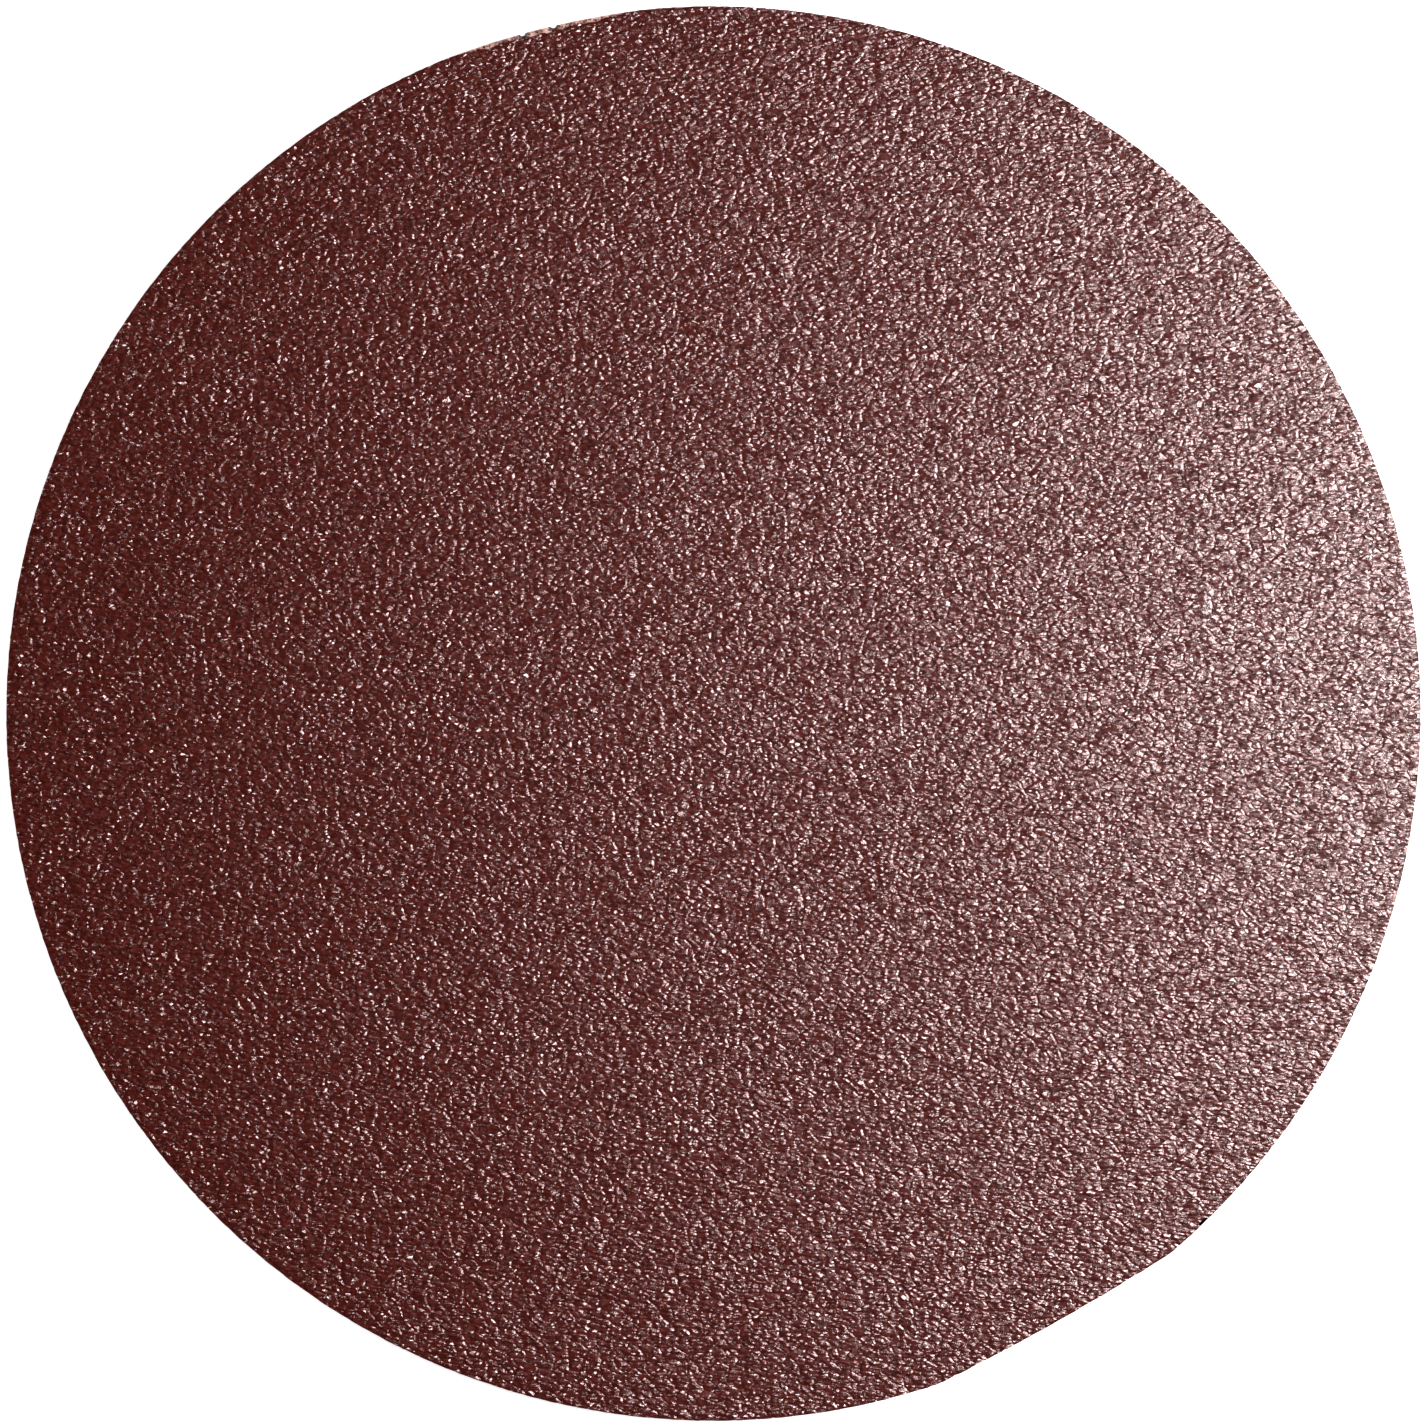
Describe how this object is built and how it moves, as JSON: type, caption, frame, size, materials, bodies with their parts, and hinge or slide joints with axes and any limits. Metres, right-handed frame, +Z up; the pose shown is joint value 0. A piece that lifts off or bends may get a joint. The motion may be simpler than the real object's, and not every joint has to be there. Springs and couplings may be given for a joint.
{
  "type": "fibre sanding disc",
  "caption": "Flat round abrasive disc for sanding: a stiff fibre backing with resin-bonded reddish brown grit over the whole face, no centre hole, and a stretch of rim worn flat.",
  "frame": {"origin": "middle of the round rim, on the flat back face that the disc lies on", "axes": "+Z up through the disc, from the back face to the grit face; +X to the picture's right and +Y to the picture's top"},
  "size_m": [0.125, 0.125, 0.0013],
  "materials": {
    "vulcanised_fibre": "matt, dense fibre sheet with a faint felted grain",
    "abrasive_grit": "rough, glinting grains under a thin glossy resin"
  },
  "bodies": {
    "root": {"fibre_backing": "vulcanised_fibre", "abrasive_coat": "abrasive_grit"}
  },
  "joints": []
}
